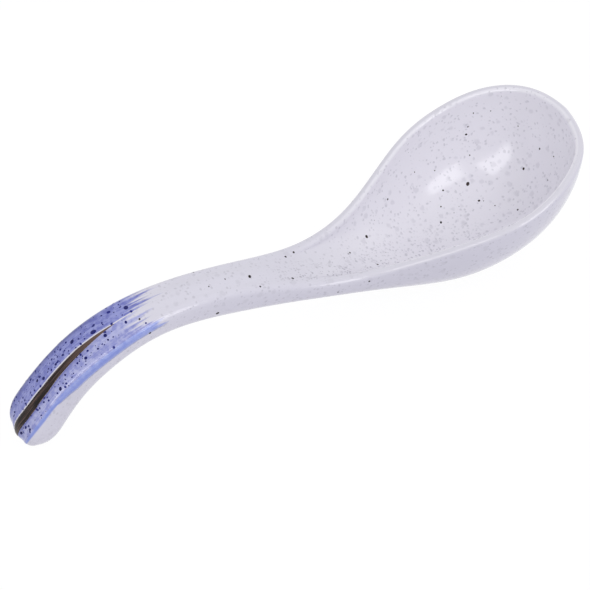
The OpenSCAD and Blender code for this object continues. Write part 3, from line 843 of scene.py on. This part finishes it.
grains = [
    (0.864, 0.65, 0.4), (0.85, 0.54, 0.6), (0.854, 0.58, 0.4), (0.841, 0.27, 0.95),
    (0.864, 0.15, 0.6), (0.78, 0.3, 0.55), (0.763, 0.22, 0.5), (0.748, 0.13, 0.6),
    (0.975, 0.36, 0.7), (0.987, 0.5, 0.55), (0.944, 0.56, 0.4), (0.99, -0.53, 0.5),
    (0.977, -0.42, 0.4), (0.963, -0.17, 0.6), (0.934, 0.09, 0.4), (0.855, 0.42, 0.4),
    (0.895, 0.64, 0.4), (0.733, 0.5, 0.4), (0.67, 0.48, 0.5), (0.613, 0.27, 0.85),
    (0.6, -0.1, 0.55), (0.56, -1.32, 0.55), (0.49, 0.84, 0.65), (0.475, 0.71, 0.65),
    (0.408, -0.36, 0.8), (0.462, -0.81, 0.8), (0.414, -1.08, 0.45), (0.356, -0.49, 0.4),
    (0.353, 1.1, 0.5), (0.366, -1.55, 1.0), (0.52, -1.45, 0.5), (0.574, 0.12, 0.55),
    (0.378, -0.22, 0.45), (0.272, -1.32, 0.65), (0.266, -0.74, 0.65)]
print("marks:", len(drops), "drops and", len(grains), "grains")

# %% [markdown]
# Cobalt drops are glass too, deep navy in the thick ones and grey-blue in the thin ones. The
# grains are iron: near black, or brown where they have run. Each dome carries a random number
# named shade, which picks its tone.

# %% Dome materials
def toned(name, first, second):
    material, tree = new_material(name)
    shade = add(tree, "Attribute", attribute_name="shade").outputs["Fac"]
    colour = add(tree, "Mix", {0: shade, 6: linear(first), 7: linear(second)}, **COLOURS)
    glossy(tree, colour, rough=0.16, relief=0.0, ior=1.25)
    print(name, "runs from", first, "to", second)
    return material


navy_drop = toned("cobalt_drop_navy", "#0c0e50", "#262b80")
iron_grain = toned("iron_grain", "#161213", "#3c3230")

# %% [markdown]
# The fine marks are scattered, so many to a square metre, and a number named amount on each point
# of the ground thins them out: drops end where the blue does, and grains are rarer on the hook.

# %% Growing the drops
FLAT, FLATTER = 0.16, 0.14      # a large and a fine dome's height, as a share of its width
drops_end = -112, -90           # x in mm, where the drops give out
grains_thin = -100, -40         # x in mm, where the grains grow from fewest to most


def set_amount(thing, low, amount):
    """amount(x) for each point of a thing, with x in mm along the table, and not below low."""
    x = np.empty(len(thing.data.vertices) * 3)
    thing.data.vertices.foreach_get("co", x)
    values = (low + (1 - low) * amount(x[::3] / MM)).astype(np.float32)
    thing.data.attributes.new("amount", "FLOAT", "POINT").data.foreach_set("value", values)


work = bmesh.new()
work.from_mesh(far_wash.data)
work.from_mesh(near_wash.data)
unseen = [face for face in work.faces if face.normal.z < 0.1]     # undersides and steep walls
bmesh.ops.delete(work, geom=unseen, context="FACES")
blue_ground = linked("blue_ground", bpy.data.meshes.new("blue_ground"))
work.to_mesh(blue_ground.data)
work.free()
set_amount(blue_ground, 0.0, lambda x: 1 - step_up(x, *drops_end))
fine_drops = grown("fine_drops", blue_ground, scatter_tree, Density=5e5, Smallest=0.2 * MM,
                   Largest=0.7 * MM, Flatness=FLATTER, Seed=4, Material=navy_drop)
marks = mark_points("drop_marks", drops, 0.03)
large_drops = grown("large_drops", marks, placed_tree, Flatness=FLAT, Seed=5, Material=navy_drop)
bpy.data.objects.remove(blue_ground)
bpy.data.objects.remove(marks)

# %% Growing the grains
set_amount(glaze_coat, 0.35, lambda x: step_up(x, *grains_thin))
fine_grains = grown("fine_grains", glaze_coat, scatter_tree, Density=3.5e3, Smallest=0.14 * MM,
                    Largest=0.4 * MM, Flatness=FLATTER, Seed=9, Material=iron_grain)
marks = mark_points("grain_marks", grains)
large_grains = grown("large_grains", marks, placed_tree, Flatness=FLAT, Seed=11,
                     Material=iron_grain)
bpy.data.objects.remove(marks)

# %% One piece of each
def joined(name, pieces):
    bpy.ops.object.select_all(action="DESELECT")
    for piece in pieces:
        piece.select_set(True)
    bpy.context.view_layer.objects.active = pieces[0]
    bpy.ops.object.join()
    pieces[0].name = pieces[0].data.name = name
    return pieces[0]


spatter = joined("cobalt_spatter", [fine_drops, large_drops])
specks = joined("iron_specks_fused", [fine_grains, large_grains])
print("spatter:", len(spatter.data.polygons), "faces; specks:", len(specks.data.polygons), "faces")

# %% [markdown]
# ## Which piece stands for which solid
# Each coat replaces the imported solid of the same coat and rides on the spoon's only body.

# %% Replacing the solids
for piece, node, finish in (
        (clay, "clay_body", "fired_clay"), (glaze_coat, "white_glaze", "white_glaze"),
        (far_wash, "far_blue_stroke", "blue_colour"),
        (near_wash, "near_blue_stroke", "blue_colour"),
        (edge_wash, "edge_blue_stroke", "blue_colour"),
        (iron_stroke, "brown_stroke", "brown_colour"),
        (spatter, "blue_spatter", "navy_colour"), (specks, "iron_specks", "iron_speck")):
    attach(piece, body)
    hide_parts(node)
    print(piece.name, "stands for", node)

# %% [markdown]
# ## Floor, light and camera
# The spoon lies on a plain white table. The floor glows for the camera, and for reflections, just
# enough to read as white, and keeps the soft shadow. A lamp high in front lights the spoon. Two low
# panels light nothing and are only mirrored, as the two bright patches in the bowl.

# %% Floor
WHITE = (1, 1, 1, 1)
floor_reach = 3     # m to each side


def seen_ray(tree):
    """1 for a ray that shows the surface itself, to the camera or in a gloss, and 0 for light."""
    ray = add(tree, "LightPath").outputs
    mirrored = add(tree, "Math", {0: ray["Is Glossy Ray"], 1: ray["Is Transmission Ray"]},
                   operation="MAXIMUM")
    return add(tree, "Math", {0: mirrored, 1: ray["Is Camera Ray"]}, operation="MAXIMUM")


def flat_piece(name, width, height, place):
    """A rectangle, in metres, moved and turned to its place."""
    corners = [(x * width / 2, y * height / 2, 0) for x, y in ((-1, -1), (1, -1), (1, 1), (-1, 1))]
    mesh = bpy.data.meshes.new(name)
    mesh.from_pydata([place @ Vector(corner) for corner in corners], [], [(0, 1, 2, 3)])
    return linked(name, mesh)


floor = flat_piece("floor", 2 * floor_reach, 2 * floor_reach, Matrix.Identity(4))
paper, tree = new_material("white_table")
glowing = add(tree, "Math", {0: seen_ray(tree), 1: 0.93}, **TIMES)
matt = add(tree, "BsdfDiffuse", {"Color": linear("#d6d5de")})
glow = add(tree, "Emission", {"Color": WHITE, "Strength": 1.04})
both = add(tree, "MixShader", {0: glowing, 1: matt, 2: glow})
add(tree, "OutputMaterial", {"Surface": both})
floor.data.materials.append(paper)
print("the floor reaches %g m to each side" % floor_reach)

# %% World
world = bpy.data.worlds.new("studio")
bpy.context.scene.world = world
world.use_nodes = True
tree = world.node_tree
tree.nodes.clear()
fill = add(tree, "Background", {"Color": (0.99, 0.99, 1, 1), "Strength": 0.8})
plain = add(tree, "Background", {"Color": WHITE, "Strength": 1.0})
both = add(tree, "MixShader", {0: seen_ray(tree), 1: fill, 2: plain})
add(tree, "OutputWorld", {"Surface": both})
print("the world lights at %.2g" % fill.inputs["Strength"].default_value)

# %% Lamp and panels
bowl_centre = Vector((0.01, 0, 0.03))


def facing(azimuth, elevation, roll=0.0, distance=1.0):
    """The place and turn, in degrees, of something that faces the bowl."""
    a, e = math.radians(azimuth), math.radians(elevation)
    toward = Vector((math.cos(e) * math.cos(a), math.cos(e) * math.sin(a), math.sin(e)))
    turn = toward.to_track_quat("Z", "Y").to_matrix().to_4x4()
    spin = Matrix.Rotation(math.radians(roll), 4, "Z")
    return Matrix.Translation(bowl_centre + toward * distance) @ turn @ spin


lamp = bpy.data.lights.new("key", "AREA")
lamp.shape, lamp.size, lamp.energy = "SQUARE", 0.8, 2.15     # metres and watts
key = linked("key", lamp)
key.matrix_world = facing(-85, 52)
key.visible_glossy = False

for name, azimuth, elevation, roll, width, height, strength in (
        ("panel_front", -79, 29, 0, 0.42, 0.6, 4.2), ("panel_side", -133, 25, 45, 0.85, 0.36, 4.4)):
    panel = flat_piece(name, width, height, facing(azimuth, elevation, roll))
    shine, tree = new_material(name)
    glow = add(tree, "Emission", {"Color": WHITE, "Strength": strength})
    add(tree, "OutputMaterial", {"Surface": glow})
    panel.data.materials.append(shine)
    panel.visible_camera = panel.visible_diffuse = panel.visible_shadow = False
    print(name, "measures %g by %g m" % (width, height))

# %% [markdown]
# The camera looks down at the near side from well away, with a long lens, so that the hook and
# the bowl keep nearly the same scale. Its numbers were fitted to the outline in the photograph.

# %% Camera
azimuth, elevation, roll = (math.radians(a) for a in (-31.14, 49.38, 1.1))
aim, distance = Vector((-0.05327, -0.01408, 0.02884)), 0.58622      # in metres
back = Vector((math.sin(azimuth) * math.cos(elevation), -math.cos(azimuth) * math.cos(elevation),
               math.sin(elevation)))
level = Vector((math.cos(azimuth), math.sin(azimuth), 0))
right = level * math.cos(roll) + back.cross(level) * math.sin(roll)
turn = Matrix((right, back.cross(right), back)).transposed().to_4x4()
camera = linked("camera", bpy.data.cameras.new("camera"))
camera.matrix_world = Matrix.Translation(aim + back * distance) @ turn
camera.data.lens = 137.19
camera.data.sensor_width = 36
camera.data.clip_start = 0.01
bpy.context.scene.camera = camera
bpy.context.scene.view_settings.view_transform = "Standard"
print("the camera stands %.2f m away, at %.0f degrees" % (distance, math.degrees(elevation)))
